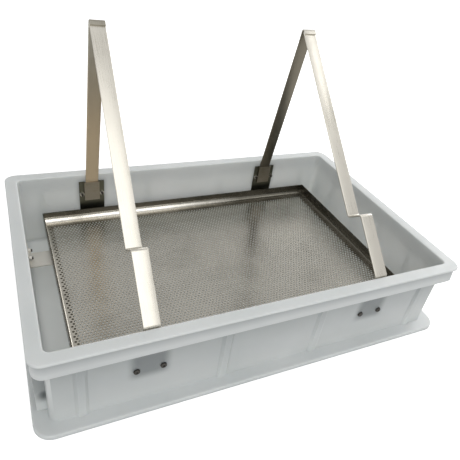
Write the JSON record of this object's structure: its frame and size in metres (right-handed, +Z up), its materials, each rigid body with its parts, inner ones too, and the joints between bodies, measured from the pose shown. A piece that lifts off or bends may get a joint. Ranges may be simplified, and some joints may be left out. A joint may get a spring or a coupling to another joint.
{
  "type": "uncapping tank",
  "caption": "Open plastic tank with bolted wall sockets, two lift-out bent-strap racks that hold a honeycomb frame at a slope, and a lift-out perforated straining tray.",
  "frame": {"origin": "middle of the tank's footprint, at the height of the surface it stands on", "axes": "+X along the tank's long side, +Y towards the side with the higher sockets, +Z up"},
  "size_m": [0.72, 0.469, 0.4432],
  "materials": {
    "tank_plastic": "translucent natural polyethylene, smooth",
    "bracket_steel": "stainless sheet, mill finish",
    "fastener_steel": "stainless, plain",
    "strap_steel": "stainless strap, bright rolled",
    "tray_steel": "stainless sheet, bright rolled",
    "perforated_steel": "stainless perforated sheet, mill finish"
  },
  "bodies": {
    "tank": {"tank_walls": "tank_plastic", "tank_rim": "tank_plastic", "tank_foot": "tank_plastic", "tank_ribs": "tank_plastic", "socket_front_left": "bracket_steel", "socket_front_right": "bracket_steel", "socket_rear_left": "bracket_steel", "socket_rear_right": "bracket_steel", "end_bracket": "bracket_steel", "socket_screws_front_left": "fastener_steel", "socket_screws_front_right": "fastener_steel", "socket_screws_rear_left": "fastener_steel", "socket_screws_rear_right": "fastener_steel", "end_bracket_screws": "fastener_steel", "socket_nuts_front_left": "fastener_steel", "socket_nuts_front_right": "fastener_steel", "socket_nuts_rear_left": "fastener_steel", "socket_nuts_rear_right": "fastener_steel", "end_bracket_nuts": "fastener_steel"},
    "rack_left": {"rack_left_front_leg": "strap_steel", "rack_left_rear_leg": "strap_steel"},
    "rack_right": {"rack_right_front_leg": "strap_steel", "rack_right_rear_leg": "strap_steel"},
    "tray": {"tray_rail_left": "tray_steel", "tray_rail_right": "tray_steel", "tray_rail_front": "tray_steel", "tray_rail_rear": "tray_steel", "tray_floor": "perforated_steel"}
  },
  "joints": [
    {"name": "rack_left_lift", "type": "slide", "parent": "tank", "child": "rack_left", "axis": [0.0209, 0, 0.9998], "range_m": [0, 0.1]},
    {"name": "rack_right_lift", "type": "slide", "parent": "tank", "child": "rack_right", "axis": [0, 0, 1], "range_m": [0, 0.1]},
    {"name": "tray_lift", "type": "slide", "parent": "tank", "child": "tray", "axis": [0, 0, 1], "range_m": [0, 0.065]}
  ]
}
